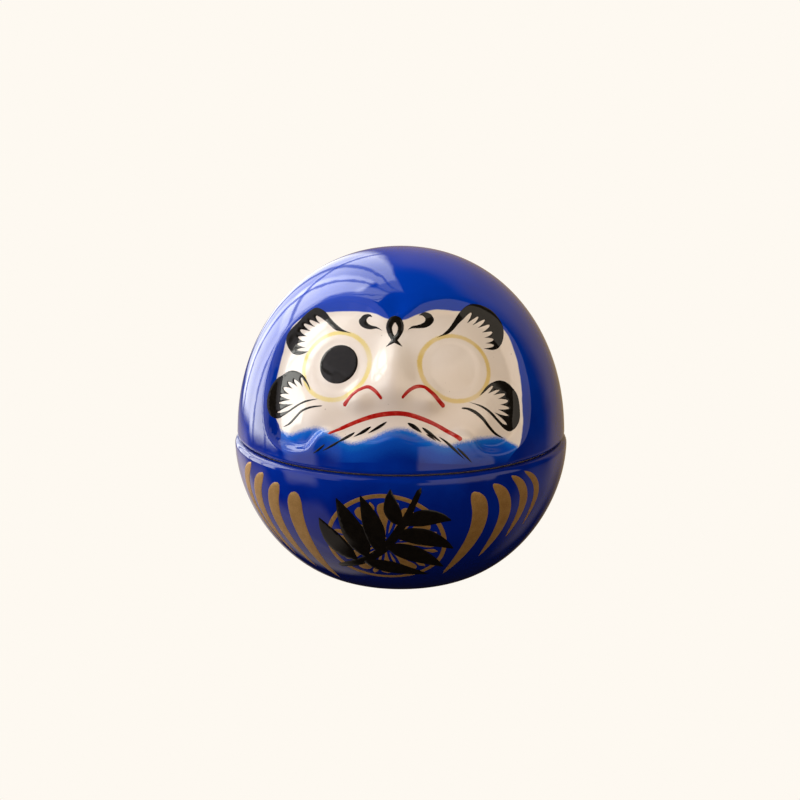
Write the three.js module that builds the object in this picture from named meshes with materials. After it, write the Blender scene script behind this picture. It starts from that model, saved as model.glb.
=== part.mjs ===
// Daruma jar: a slip-cast, glazed daruma figure made as a two-part container. The lid is the
// hooded head with its moulded face, and the bowl is the round body that it stands on.
// Millimetres, +Z up, origin on the ground under the middle of the foot, face towards -Y.
import * as THREE from "three";
import { mergeVertices } from "three/addons/utils/BufferGeometryUtils.js";

// Bowl
const bowlRadius = 55.3; // outside, at its widest
const rimHeight = 48.2; // ground to the rim's flat land
const bowlWall = 3.6;
const bowlFloor = 4.6; // thickness of the bottom at the middle
const bowlRoundness = 1.83; // exponent of the side's curve, 2 is an ellipse
const sideEndRadius = 16; // where the side's curve would meet the ground
const rimRound = 2.0; // rounding of the rim's outer edge
const rimInnerRound = 0.8;
const footRadius = 20.2; // outside of the foot ring
const footLand = 2.8; // width of the ring that touches the ground
const footChamfer = 0.5;
const footHollow = 1.0; // height of the hollow inside the foot ring

// Lid
const lidSetback = 0.8; // the lid's edge lies this far inside the bowl's widest radius
const lidRise = 62.3; // seat to the outside of the crown
const lidRoundness = 2.1;
const lidWall = 3.4;
const lidEdgeRound = 1.7; // rounding of the lid's outer lower edge
const seatGap = 0.3; // between the rim's land and the lid's seat
const flangeGap = 0.7; // radial clearance of the locating flange inside the rim
const flangeDepth = 4.5; // flange below the seat
const flangeWall = 2.6;
const flangeChamfer = 0.5;
const flangeFillet = 3.0; // height over which the flange runs out into the wall above

// Face: u runs sideways and v up the lid's skin, both from the face's middle
const faceTilt = THREE.MathUtils.degToRad(25); // the face's middle, above the seat's plane
const recessDepth = 3.0;
const recessWall = 5.5; // width of the slope from the hood's edge down to the face
const chinWall = 3.4; // the same slope below the cheeks, where it is steeper
const chinStart = 2; // the slope begins to steepen this far below the face's middle
const chinFull = 10;
const insideFollows = 0.8; // the share of the relief that shows on the inside
const seatFade = 4.0; // the relief dies away over this height above the seat

// Right half of the hood's edge, from the dip over the nose round to the chin
const hoodEdge = [
  [0, 26], [8, 31.5], [18, 34.5], [30, 32], [40, 24.5], [46, 12], [48, 0],
  [47, -7], [44, -12], [37, -15.8], [29.5, -15.8], [22.5, -11], [16, -13], [7, -14], [0, -12.5],
];

// Soft swellings of the skin: middle, reach sideways, upwards and downwards, and height
const midBumps = [
  { u: 0, v: 3.5, side: 7.0, up: 9, down: 6.0, height: 6.4 }, // ball of the nose
  { u: 0, v: 14, side: 4.5, up: 8, down: 9, height: 2.2 }, // bridge
  { u: 0, v: 27, side: 3.5, up: 5, down: 6, height: -0.8 }, // valley between the brows
];
const sideBumps = [
  { u: 10.5, v: 0, side: 4.6, up: 4.2, down: 3.2, height: 3.0 }, // wing of the nose
  { u: 18.2, v: 11.3, side: 11.5, up: 11.5, down: 11.5, height: 1.5 }, // eyeball
  { u: 28, v: -5, side: 8, up: 7, down: 7, height: 2.0 }, // cheek
];
const eyeDish = { u: 18.2, v: 11.3, radius: 8.3, edge: 1.1, depth: 0.4 };

// Fineness of the surfaces
const lidColumns = 60;
const lidOutsideRows = 28;
const bowlColumns = 48;
const shellRows = 12;
const roundRows = 3;
const frontCrowding = 0.5; // gathers the lid's columns towards the face
const quarterTurn = Math.PI / 2;

const glaze = { color: 0x0a2fa0, roughness: 0.12, metalness: 0 };
const rimInside = bowlRadius - bowlWall;
const lidRadius = bowlRadius - lidSetback;
const seatHeight = rimHeight + seatGap;
const flangeRadius = rimInside - flangeGap;

// A point of the curve that a superellipse follows, t from 0 at the side to 1 at the end
function curvePoint(t, roundness) {
  const angle = t * quarterTurn;
  const power = 2 / roundness;
  return [Math.max(Math.cos(angle), 0) ** power, Math.sin(angle) ** power];
}

function bowlProfile() {
  const profile = [];
  const insideEnd = sideEndRadius - bowlWall / 2;
  const hollow = rimHeight - rimInnerRound - bowlFloor;
  profile.push([0, footHollow]);
  profile.push([footRadius - footChamfer - footLand - footHollow, footHollow]);
  profile.push([footRadius - footChamfer - footLand, 0]);
  profile.push([footRadius - footChamfer, 0]);
  profile.push([footRadius, footChamfer]);
  for (let row = shellRows; row >= 0; row -= 1) {
    const [across, down] = curvePoint(row / shellRows, bowlRoundness);
    const radius = sideEndRadius + (bowlRadius - sideEndRadius) * across;
    const height = (rimHeight - rimRound) * (1 - down);
    if (radius > footRadius && height > footChamfer) profile.push([radius, height]);
  }
  for (let row = 1; row <= roundRows; row += 1) {
    const angle = (row / roundRows) * quarterTurn;
    profile.push([
      bowlRadius - rimRound * (1 - Math.cos(angle)),
      rimHeight - rimRound * (1 - Math.sin(angle)),
    ]);
  }
  profile.push([rimInside + rimInnerRound, rimHeight]);
  for (let row = 0; row < shellRows; row += 1) {
    const [across, down] = curvePoint(row / shellRows, bowlRoundness);
    const radius = insideEnd + (rimInside - insideEnd) * across;
    profile.push([radius, bowlFloor + hollow * (1 - down)]);
  }
  profile.push([insideEnd, bowlFloor]);
  profile.push([0, bowlFloor]);
  return profile;
}

// Distance from the lid's middle to its skin at an angle above the seat's plane
function skinDistance(angle, radius, rise) {
  const across = Math.max(Math.cos(angle), 0) / radius;
  const up = Math.max(Math.sin(angle), 0) / rise;
  return (across ** lidRoundness + up ** lidRoundness) ** (-1 / lidRoundness);
}

// Each row holds its radius, its height above the seat and how much of the relief it takes
function lidRows() {
  const rows = [];
  const insideRadius = lidRadius - lidWall;
  const insideRise = lidRise - lidWall;
  const flangeInside = flangeRadius - flangeWall;
  const insideStart = Math.asin((flangeFillet * 2) / insideRadius);
  for (let row = shellRows; row >= 0; row -= 1) {
    const angle = insideStart + (row / shellRows) * (quarterTurn - insideStart);
    const reach = skinDistance(angle, insideRadius, insideRise);
    const radius = row === shellRows ? 0 : reach * Math.cos(angle);
    rows.push({ radius, height: reach * Math.sin(angle), relief: insideFollows });
  }
  rows.push({ radius: flangeInside, height: flangeFillet, relief: 0 });
  rows.push({ radius: flangeInside, height: flangeChamfer - flangeDepth, relief: 0 });
  rows.push({ radius: flangeInside + flangeChamfer, height: -flangeDepth, relief: 0 });
  rows.push({ radius: flangeRadius - flangeChamfer, height: -flangeDepth, relief: 0 });
  rows.push({ radius: flangeRadius, height: flangeChamfer - flangeDepth, relief: 0 });
  rows.push({ radius: flangeRadius, height: 0, relief: 0 });
  for (let row = 0; row <= roundRows; row += 1) {
    const angle = (row / roundRows) * quarterTurn;
    const radius = lidRadius - lidEdgeRound * (1 - Math.sin(angle));
    rows.push({ radius, height: lidEdgeRound * (1 - Math.cos(angle)), relief: 0 });
  }
  const outsideStart = Math.asin(lidEdgeRound / lidRadius);
  for (let row = 1; row <= lidOutsideRows; row += 1) {
    const angle = outsideStart + (row / lidOutsideRows) * (quarterTurn - outsideStart);
    const reach = skinDistance(angle, lidRadius, lidRise);
    const radius = row === lidOutsideRows ? 0 : reach * Math.cos(angle);
    rows.push({ radius, height: reach * Math.sin(angle), relief: 1 });
  }
  return rows;
}

// The whole hood edge as a closed smooth curve
function hoodOutline() {
  const right = hoodEdge.map(([u, v]) => new THREE.Vector2(u, v));
  const left = hoodEdge.slice(1, -1).reverse().map(([u, v]) => new THREE.Vector2(-u, v));
  const corners = [...right, ...left].map((p) => new THREE.Vector3(p.x, p.y, 0));
  return new THREE.CatmullRomCurve3(corners, true, "centripetal").getPoints(120);
}

const outline = hoodOutline();

// Distance from the hood's edge, positive inside the face's recess
function insideHood(u, v) {
  let nearest = Infinity;
  let inside = false;
  for (let i = 1; i < outline.length; i += 1) {
    const a = outline[i - 1];
    const b = outline[i];
    const along = ((u - a.x) * (b.x - a.x) + (v - a.y) * (b.y - a.y)) /
      ((b.x - a.x) ** 2 + (b.y - a.y) ** 2);
    const t = THREE.MathUtils.clamp(along, 0, 1);
    nearest = Math.min(nearest, Math.hypot(u - a.x - t * (b.x - a.x), v - a.y - t * (b.y - a.y)));
    const crosses = a.y > v !== b.y > v;
    if (crosses && u < a.x + ((v - a.y) / (b.y - a.y)) * (b.x - a.x)) inside = !inside;
  }
  return inside ? nearest : -nearest;
}

function bumpHeight(bump, u, v) {
  const reach = v > bump.v ? bump.up : bump.down;
  return bump.height * Math.exp(-(((u - bump.u) / bump.side) ** 2) - ((v - bump.v) / reach) ** 2);
}

// Height of the moulded relief over the lid's plain skin
function faceRelief(u, v) {
  const side = Math.abs(u);
  const towardsChin = THREE.MathUtils.smoothstep(-v, chinStart, chinFull);
  const wall = recessWall + (chinWall - recessWall) * towardsChin;
  let height = -recessDepth * THREE.MathUtils.smoothstep(insideHood(u, v), 0, wall);
  for (const bump of midBumps) height += bumpHeight(bump, u, v);
  for (const bump of sideBumps) height += bumpHeight(bump, side, v);
  const fromEye = Math.hypot(side - eyeDish.u, v - eyeDish.v) - eyeDish.radius;
  height -= eyeDish.depth * (1 - THREE.MathUtils.smoothstep(fromEye, -eyeDish.edge, eyeDish.edge));
  return height;
}

// Where a direction from the lid's middle meets the face, as u and v along the skin
function faceChart(direction) {
  const forward = new THREE.Vector3(0, -Math.cos(faceTilt), Math.sin(faceTilt));
  const upward = new THREE.Vector3(0, Math.sin(faceTilt), Math.cos(faceTilt));
  const across = direction.x;
  const up = direction.dot(upward);
  const turned = Math.acos(THREE.MathUtils.clamp(direction.dot(forward), -1, 1));
  const spread = Math.hypot(across, up);
  const scale = spread > 0 ? (lidRadius * turned) / spread : 0;
  return [across * scale, up * scale];
}

// Turns a profile round the Z axis, its first column at the front
function turned(profile, columns) {
  const points = profile.map(([radius, height]) => new THREE.Vector2(radius, height));
  const geometry = new THREE.LatheGeometry(points, columns);
  geometry.rotateX(quarterTurn);
  geometry.deleteAttribute("normal");
  geometry.deleteAttribute("uv");
  return geometry;
}

function finished(geometry) {
  const merged = mergeVertices(geometry, 1e-3);
  const flat = merged.toNonIndexed();
  flat.computeVertexNormals();
  return flat;
}

function bowlGeometry() {
  return finished(turned(bowlProfile(), bowlColumns));
}

// The lid's profile is turned, its columns are gathered at the front, and the relief is raised
function lidGeometry() {
  const rows = lidRows();
  const geometry = turned(rows.map((row) => [row.radius, row.height]), lidColumns);
  const position = geometry.getAttribute("position");
  const point = new THREE.Vector3();
  for (let i = 0; i < position.count; i += 1) {
    const column = Math.floor(i / rows.length);
    const row = rows[i % rows.length];
    const even = (column / lidColumns) * Math.PI * 2;
    const angle = even - frontCrowding * Math.sin(even);
    point.set(row.radius * Math.sin(angle), -row.radius * Math.cos(angle), row.height);
    if (row.relief > 0) {
      const reach = point.length();
      const [u, v] = faceChart(point.clone().normalize());
      const fade = THREE.MathUtils.smoothstep(row.height, lidEdgeRound, lidEdgeRound + seatFade);
      point.multiplyScalar(1 + (row.relief * fade * faceRelief(u, v)) / reach);
    }
    position.setXYZ(i, point.x, point.y, point.z);
  }
  return finished(geometry);
}

function named(name, geometry, finish) {
  const mesh = new THREE.Mesh(geometry, new THREE.MeshStandardMaterial(finish));
  mesh.name = name;
  return mesh;
}

const group = new THREE.Group();
const bowl = named("bowl", bowlGeometry(), glaze);
const lid = named("lid", lidGeometry(), glaze);
lid.position.z = seatHeight;
group.add(bowl, lid);

export default group;
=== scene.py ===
import math
import bpy
import numpy as np
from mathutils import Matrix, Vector
from mathutils.geometry import delaunay_2d_cdt


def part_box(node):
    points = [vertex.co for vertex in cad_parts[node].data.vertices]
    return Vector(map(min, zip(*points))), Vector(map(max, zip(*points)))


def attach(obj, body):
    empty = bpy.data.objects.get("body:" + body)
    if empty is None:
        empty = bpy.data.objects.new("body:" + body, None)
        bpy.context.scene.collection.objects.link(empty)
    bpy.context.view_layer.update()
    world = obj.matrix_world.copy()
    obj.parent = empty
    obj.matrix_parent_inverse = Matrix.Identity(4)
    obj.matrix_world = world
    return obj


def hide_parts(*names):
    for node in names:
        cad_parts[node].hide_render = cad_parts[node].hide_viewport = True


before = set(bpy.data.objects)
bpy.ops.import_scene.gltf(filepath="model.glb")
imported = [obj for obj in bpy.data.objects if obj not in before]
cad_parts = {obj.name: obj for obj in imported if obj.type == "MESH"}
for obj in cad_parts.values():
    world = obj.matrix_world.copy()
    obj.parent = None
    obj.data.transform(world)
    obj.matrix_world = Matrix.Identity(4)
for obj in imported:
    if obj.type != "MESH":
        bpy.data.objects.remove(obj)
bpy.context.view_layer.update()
mm = 0.001
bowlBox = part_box("bowl")
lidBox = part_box("lid")
print("frame loaded")

# ---- camera, aimed a little below the face from just right of the nose
view = {"azimuth": 2.5, "elevation": 13.55, "distance": 667, "lens": 90, "aim": (-0.3, 0, 59.6)}


def makeCamera():
    azimuth = math.radians(view["azimuth"])
    elevation = math.radians(view["elevation"])
    away = Vector((
        math.sin(azimuth) * math.cos(elevation),
        -math.cos(azimuth) * math.cos(elevation),
        math.sin(elevation),
    ))
    camera = bpy.data.objects.new("camera", bpy.data.cameras.new("camera"))
    camera.data.lens = view["lens"]
    camera.data.clip_start = 0.05
    camera.location = (Vector(view["aim"]) + away * view["distance"]) * mm
    camera.rotation_euler = away.to_track_quat("Z", "Y").to_euler()
    bpy.context.collection.objects.link(camera)
    bpy.context.scene.camera = camera
    bpy.context.scene.view_settings.view_transform = "Standard"


makeCamera()


# ---- small helpers
def linear(colour):
    channels = [int(colour[i:i + 2], 16) / 255 for i in (1, 3, 5)]
    flat = [c / 12.92 if c <= 0.04045 else ((c + 0.055) / 1.055) ** 2.4 for c in channels]
    return (*flat, 1.0)


# Fills a node's inputs with values, sockets or nodes; a node gives its first live output
def fillInputs(tree, node, inputs):
    for key, value in inputs.items():
        if isinstance(value, bpy.types.Node):
            value = next(socket for socket in value.outputs if socket.enabled)
        if isinstance(value, bpy.types.NodeSocket):
            tree.links.new(value, node.inputs[key])
        else:
            node.inputs[key].default_value = value


# Adds a node with its settings, and its inputs' values and links
def addNode(tree, kind, settings=None, inputs=None):
    node = tree.nodes.new(kind)
    for key, value in (settings or {}).items():
        setattr(node, key, value)
    fillInputs(tree, node, inputs or {})
    return node


def smoothStep(value, low, high):
    t = np.clip((value - low) / (high - low), 0, 1)
    return t * t * (3 - 2 * t)


# A smooth curve through points, centripetal so that it never loops between them
def smoothPath(points, steps=8, closed=False):
    p = np.array(points, float)
    before = p[-1] if closed else 2 * p[0] - p[1]
    after = [p[0], p[1]] if closed else [2 * p[-1] - p[-2]]
    ring = np.vstack([before, p, after])
    t = np.arange(steps)[:, None] / steps
    parts = []
    for a, b, c, d in zip(ring, ring[1:], ring[2:], ring[3:]):
        ab, bc, cd = (max(np.linalg.norm(e) ** 0.5, 1e-6) for e in (b - a, c - b, d - c))
        start = (b - a) / ab * bc - (c - a) / (ab + bc) * bc + (c - b)
        end = (c - b) - (d - b) / (bc + cd) * bc + (d - c) / cd * bc
        parts.append(
            (2 * t**3 - 3 * t**2 + 1) * b + (t**3 - 2 * t**2 + t) * start
            + (3 * t**2 - 2 * t**3) * c + (t**3 - t**2) * end
        )
    return np.vstack(parts if closed else [*parts, p[-1:]])


# Distance from the nearest of some closed outlines, positive inside them
def insideDistance(x, y, outlines):
    nearest = np.full(x.shape, 1e9)
    inside = np.zeros(x.shape, bool)
    for outline in outlines:
        for a, b in zip(outline, np.roll(outline, -1, axis=0)):
            d = b - a
            if d @ d < 1e-12:
                continue
            t = np.clip(((x - a[0]) * d[0] + (y - a[1]) * d[1]) / (d @ d), 0, 1)
            nearest = np.minimum(nearest, np.hypot(x - a[0] - t * d[0], y - a[1] - t * d[1]))
            if a[1] != b[1]:
                crosses = (a[1] > y) != (b[1] > y)
                inside ^= crosses & (x < a[0] + (y - a[1]) / d[1] * d[0])
    return np.where(inside, nearest, -nearest)


def makeObject(name, mesh):
    piece = bpy.data.objects.new(name, mesh)
    bpy.context.collection.objects.link(piece)
    return piece


def meshFrom(name, points, faces):
    mesh = bpy.data.meshes.new(name)
    mesh.from_pydata([tuple(p) for p in points], [], [tuple(f) for f in faces])
    mesh.update()
    return mesh


def finish(piece, body):
    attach(piece, body)


# ---- sizes of the jar in mm; the three overall ones come from the frame
jar = {
    "bowlRadius": bowlBox[1].x / mm, "rimHeight": bowlBox[1].z / mm,
    "crownHeight": lidBox[1].z / mm,
    "bowlRoundness": 1.83, "sideEndRadius": 16, "bowlWall": 3.6, "bowlFloor": 4.6,
    "rimRound": 2.0, "rimInnerRound": 0.8,
    "footRadius": 20.2, "footLand": 2.8, "footChamfer": 0.5, "footHollow": 1.0,
    "lidSetback": 0.8, "lidRoundness": 2.1, "lidWall": 3.4, "lidEdgeRound": 1.7, "seatGap": 0.3,
    "flangeGap": 0.7, "flangeDepth": 4.5, "flangeWall": 2.6, "flangeChamfer": 0.5,
    "flangeFillet": 3.0,
}
rimInside = jar["bowlRadius"] - jar["bowlWall"]
lidRadius = jar["bowlRadius"] - jar["lidSetback"]
seatHeight = jar["rimHeight"] + jar["seatGap"]
lidRise = jar["crownHeight"] - seatHeight
zones = {"outside": 0, "inside": 1, "land": 2}
quarter = math.pi / 2


# ---- the moulded face: u runs sideways and v up the lid's skin from the face's middle, in mm
face = {
    "tilt": math.radians(25), "recessDepth": 3.0, "recessWall": 5.5, "insideFollows": 0.8,
    "chinWall": 3.4, "chinStart": 2, "chinFull": 10, "seatFade": 4.0,
    "hoodEdge": [
        (0, 26), (8, 31.5), (18, 34.5), (30, 32), (40, 24.5), (46, 12), (48, 0),
        (47, -7), (44, -12), (37, -15.8), (29.5, -15.8), (22.5, -11), (16, -13), (7, -14),
        (0, -12.5),
    ],
    # middle u and v, reach sideways, up and down, height
    "midBumps": [
        (0, 3.5, 7.0, 9, 6.0, 6.4), (0, 14, 4.5, 8, 9, 2.2),
        (0, 27, 3.5, 5, 6, -0.8),
    ],
    "sideBumps": [
        (10.5, 0, 4.6, 4.2, 3.2, 3.0), (18.2, 11.3, 11.5, 11.5, 11.5, 1.5),
        (28, -5, 8, 7, 7, 2.0),
    ],
    "eyeDish": {"u": 18.2, "v": 11.3, "radius": 8.3, "edge": 1.1, "depth": 0.4},
}
forward = np.array([0, -math.cos(face["tilt"]), math.sin(face["tilt"])])
upward = np.array([0, math.sin(face["tilt"]), math.cos(face["tilt"])])
hoodHalf = face["hoodEdge"]
hoodOutline = smoothPath(hoodHalf + [(-u, v) for u, v in hoodHalf[-2:0:-1]], 8, closed=True)


def bumpHeight(bump, u, v):
    middleU, middleV, side, up, down, height = bump
    reach = np.where(v > middleV, up, down)
    return height * np.exp(-(((u - middleU) / side) ** 2) - ((v - middleV) / reach) ** 2)


def faceRelief(u, v):
    side = np.abs(u)
    towardsChin = smoothStep(-v, face["chinStart"], face["chinFull"])
    wall = face["recessWall"] + (face["chinWall"] - face["recessWall"]) * towardsChin
    recess = smoothStep(insideDistance(u, v, [hoodOutline]), 0, wall)
    height = -face["recessDepth"] * recess
    for bump in face["midBumps"]:
        height = height + bumpHeight(bump, u, v)
    for bump in face["sideBumps"]:
        height = height + bumpHeight(bump, side, v)
    dish = face["eyeDish"]
    fromEye = np.hypot(side - dish["u"], v - dish["v"]) - dish["radius"]
    return height - dish["depth"] * (1 - smoothStep(fromEye, -dish["edge"], dish["edge"]))


def skinDistance(angle, radius, rise):
    across = np.clip(np.cos(angle), 0, None) / radius
    up = np.clip(np.sin(angle), 0, None) / rise
    return (across ** jar["lidRoundness"] + up ** jar["lidRoundness"]) ** (-1 / jar["lidRoundness"])


def reliefFade(height):
    return smoothStep(height, jar["lidEdgeRound"], jar["lidEdgeRound"] + face["seatFade"])


# The face chart of a direction from the lid's middle, and back again
def toChart(direction):
    turned = np.arccos(np.clip(direction @ forward, -1, 1))
    across, up = direction[:, 0], direction @ upward
    scale = lidRadius * turned / np.maximum(np.hypot(across, up), 1e-9)
    return across * scale, up * scale


def fromChart(u, v):
    spread = np.maximum(np.hypot(u, v), 1e-9)
    turned = spread / lidRadius
    side = np.sin(turned) / spread
    return (
        np.cos(turned)[:, None] * forward
        + (side * u)[:, None] * np.array([1, 0, 0])
        + (side * v)[:, None] * upward
    )


def skinPoint(u, v):
    direction = fromChart(u, v)
    reach = skinDistance(np.arcsin(direction[:, 2]), lidRadius, lidRise)
    relief = faceRelief(u, v) * reliefFade(reach * direction[:, 2])
    return direction * (reach + relief)[:, None] + np.array([0, 0, seatHeight])


# Lays flat points with a height over the skin onto the lid's face
def onFace(flat):
    u, v, height = flat.T
    step = 0.05
    here = skinPoint(u, v)
    normal = np.cross(skinPoint(u + step, v) - here, skinPoint(u, v + step) - here)
    normal /= np.linalg.norm(normal, axis=1)[:, None]
    return here + normal * height[:, None]


# ---- the bowl's side, from the rim's shoulder down, as a table of arc length
sideTurn = np.linspace(0, 1, 400) * quarter
sideBend = 2 / jar["bowlRoundness"]
sideRadius = jar["sideEndRadius"] + (jar["bowlRadius"] - jar["sideEndRadius"]) * (
    np.clip(np.cos(sideTurn), 0, None) ** sideBend)
sideHeight = (jar["rimHeight"] - jar["rimRound"]) * (1 - np.sin(sideTurn) ** sideBend)
sideLength = np.concatenate([[0], np.cumsum(np.hypot(np.diff(sideRadius), np.diff(sideHeight)))])


def onSide(azimuth, down, height):
    radius = np.interp(down, sideLength, sideRadius)
    level = np.interp(down, sideLength, sideHeight)
    slopeR = np.interp(down, sideLength, np.gradient(sideRadius, sideLength))
    slopeZ = np.interp(down, sideLength, np.gradient(sideHeight, sideLength))
    out, up = -slopeZ, slopeR
    length = np.hypot(out, up)
    radius = radius + height * out / length
    level = level + height * up / length
    return np.stack([radius * np.sin(azimuth), -radius * np.cos(azimuth), level], axis=1)


# ---- profiles for the turned forms: radius, height, share of the relief, zone
def roundCorner(centre, radius, startAngle, endAngle, steps):
    angles = np.radians(np.linspace(startAngle, endAngle, steps))
    return [(centre[0] + radius * math.cos(a), centre[1] + radius * math.sin(a)) for a in angles]


def bowlProfile():
    out, land, inside = zones["outside"], zones["land"], zones["inside"]
    foot = jar["footRadius"] - jar["footChamfer"]
    innerFoot = foot - jar["footLand"]
    rows = [(r, jar["footHollow"], 0, out) for r in np.linspace(0, innerFoot - 1.5, 8)]
    rows += [(innerFoot - 0.6, 0.8, 0, out), (innerFoot - 0.2, 0.35, 0, land)]
    rows += [(r, 0, 0, land) for r in np.linspace(innerFoot + 0.2, foot - 0.2, 4)]
    rows += [(foot + 0.2, 0.2, 0, land)]
    bends = np.linspace(0, 1, 110) * quarter
    for turn in bends[::-1]:
        across, down = max(math.cos(turn), 0) ** sideBend, math.sin(turn) ** sideBend
        radius = jar["sideEndRadius"] + (jar["bowlRadius"] - jar["sideEndRadius"]) * across
        height = (jar["rimHeight"] - jar["rimRound"]) * (1 - down)
        if radius > jar["footRadius"] and height > jar["footChamfer"]:
            rows.append((radius, height, 0, out))
    corner = (jar["bowlRadius"] - jar["rimRound"], jar["rimHeight"] - jar["rimRound"])
    rows += [(r, h, 0, out) for r, h in roundCorner(corner, jar["rimRound"], 6, 90, 14)]
    inner = jar["rimInnerRound"]
    rows += [(r, jar["rimHeight"], 0, land) for r in (corner[0] - 0.4, rimInside + inner + 0.2)]
    middle = (rimInside + inner, jar["rimHeight"] - inner)
    rows += [(r, h, 0, inside) for r, h in roundCorner(middle, inner, 90, 174, 6)]
    insideEnd = jar["sideEndRadius"] - jar["bowlWall"] / 2
    hollow = middle[1] - jar["bowlFloor"]
    for turn in np.linspace(0, 1, 70)[:-1] * quarter:
        radius = insideEnd + (rimInside - insideEnd) * max(math.cos(turn), 0) ** sideBend
        rows.append((radius, jar["bowlFloor"] + hollow * (1 - math.sin(turn) ** sideBend), 0, inside))
    rows += [(r, jar["bowlFloor"], 0, inside) for r in np.linspace(insideEnd, 0, 8)]
    return rows


def lidProfile():
    out, land, inside = zones["outside"], zones["land"], zones["inside"]
    flange = rimInside - jar["flangeGap"]
    bore = flange - jar["flangeWall"]
    innerRadius, innerRise = lidRadius - jar["lidWall"], lidRise - jar["lidWall"]
    start = math.asin(2 * jar["flangeFillet"] / innerRadius)
    rows = []
    for angle in np.linspace(quarter, start, 64):
        reach = skinDistance(angle, innerRadius, innerRise)
        radius = 0 if angle == quarter else reach * math.cos(angle)
        rows.append((radius, reach * math.sin(angle), face["insideFollows"], inside))
    lastRadius, lastHeight = rows[-1][:2]
    for t in np.linspace(0, 1, 10)[1:]:
        ease = t * t * (3 - 2 * t)
        rows.append((lastRadius + (bore - lastRadius) * ease,
                     lastHeight + (jar["flangeFillet"] / 2 - lastHeight) * t, 0, inside))
    lip = jar["flangeChamfer"]
    bottom = -jar["flangeDepth"]
    rows += [(r, h, 0, land) for r, h in roundCorner((bore + lip, bottom + lip), lip, 180, 270, 5)]
    rows += [(r, h, 0, land) for r, h in roundCorner((flange - lip, bottom + lip), lip, 270, 360, 5)]
    rows += [(flange, -0.4, 0, land), (flange + 0.3, 0, 0, land)]
    edge = jar["lidEdgeRound"]
    rows += [(lidRadius - edge - 0.3, 0, 0, land)]
    rows += [(r, h, 0, out) for r, h in roundCorner((lidRadius - edge, edge), edge, 274, 360, 14)]
    first = math.asin(edge / lidRadius)
    for angle in np.linspace(first, quarter, 190)[1:]:
        reach = skinDistance(angle, lidRadius, lidRise)
        radius = 0 if angle == quarter else reach * math.cos(angle)
        rows.append((radius, reach * math.sin(angle), 1, out))
    return rows


# ---- geometry nodes: a tree with its named inputs and one geometry output
def newTree(name, sockets):
    tree = bpy.data.node_groups.new(name, "GeometryNodeTree")
    for label, kind in sockets:
        tree.interface.new_socket(label, in_out="INPUT", socket_type="NodeSocket" + kind)
    tree.interface.new_socket("Geometry", in_out="OUTPUT", socket_type="NodeSocketGeometry")
    return tree, addNode(tree, "NodeGroupInput").outputs


# A potter's wheel that turns a profile standing in the front plane
def wheelTree():
    tree, given = newTree("potters wheel", (
        ("Geometry", "Geometry"), ("Columns", "Int"), ("Gather", "Float"), ("Material", "Material")))
    size = addNode(tree, "GeometryNodeAttributeDomainSize", {}, {"Geometry": given["Geometry"]})
    rows = size.outputs["Point Count"]
    columns = addNode(tree, "ShaderNodeMath", {"operation": "ADD"}, {0: given["Columns"], 1: 1.0})
    grid = addNode(tree, "GeometryNodeMeshGrid", {}, {
        "Size X": 1.0, "Size Y": 1.0, "Vertices X": rows, "Vertices Y": columns.outputs[0]})
    place = addNode(tree, "GeometryNodeInputPosition")
    shifted = addNode(tree, "ShaderNodeVectorMath", {"operation": "ADD"}, {
        0: place.outputs[0], 1: (0.5, 0.5, 0)})
    split = addNode(tree, "ShaderNodeSeparateXYZ", {}, {0: shifted.outputs[0]})
    lastRow = addNode(tree, "ShaderNodeMath", {"operation": "SUBTRACT"}, {0: rows, 1: 1.0})
    along = addNode(tree, "ShaderNodeMath", {"operation": "MULTIPLY"}, {
        0: split.outputs["X"], 1: lastRow.outputs[0]})
    row = addNode(tree, "ShaderNodeMath", {"operation": "ROUND"}, {0: along.outputs[0]})
    angle = addNode(tree, "ShaderNodeMath", {"operation": "MULTIPLY"}, {
        0: split.outputs["Y"], 1: 2 * math.pi})
    sine = addNode(tree, "ShaderNodeMath", {"operation": "SINE"}, {0: angle.outputs[0]})
    pull = addNode(tree, "ShaderNodeMath", {"operation": "MULTIPLY"}, {
        0: sine.outputs[0], 1: given["Gather"]})
    turn = addNode(tree, "ShaderNodeMath", {"operation": "SUBTRACT"}, {
        0: angle.outputs[0], 1: pull.outputs[0]})
    sample = addNode(tree, "GeometryNodeSampleIndex", {"data_type": "FLOAT_VECTOR"}, {
        "Geometry": given["Geometry"], "Value": place.outputs[0], "Index": row.outputs[0]})
    kind = addNode(tree, "GeometryNodeInputNamedAttribute", {"data_type": "FLOAT_VECTOR"}, {
        "Name": "kind"})
    kindSample = addNode(tree, "GeometryNodeSampleIndex", {"data_type": "FLOAT_VECTOR"}, {
        "Geometry": given["Geometry"], "Value": kind.outputs[0], "Index": row.outputs[0]})
    stored = addNode(tree, "GeometryNodeStoreNamedAttribute", {"data_type": "FLOAT_VECTOR"}, {
        "Geometry": grid.outputs["Mesh"], "Name": "kind", "Value": kindSample.outputs[0]})
    spun = addNode(tree, "ShaderNodeVectorRotate", {"rotation_type": "Z_AXIS"}, {
        "Vector": sample.outputs[0], "Angle": turn.outputs[0]})
    placed = addNode(tree, "GeometryNodeSetPosition", {}, {
        "Geometry": stored.outputs[0], "Position": spun.outputs[0]})
    closed = addNode(tree, "GeometryNodeMergeByDistance", {}, {
        "Geometry": placed.outputs[0], "Distance": 1e-6})
    turned = addNode(tree, "GeometryNodeFlipFaces", {}, {0: closed.outputs[0]})
    real = addNode(tree, "GeometryNodeRealizeInstances", {}, {0: turned.outputs[0]})
    dressed = addNode(tree, "GeometryNodeSetMaterial", {}, {
        "Geometry": real.outputs[0], "Material": given["Material"]})
    addNode(tree, "NodeGroupOutput", {}, {0: dressed.outputs[0]})
    return tree


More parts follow.
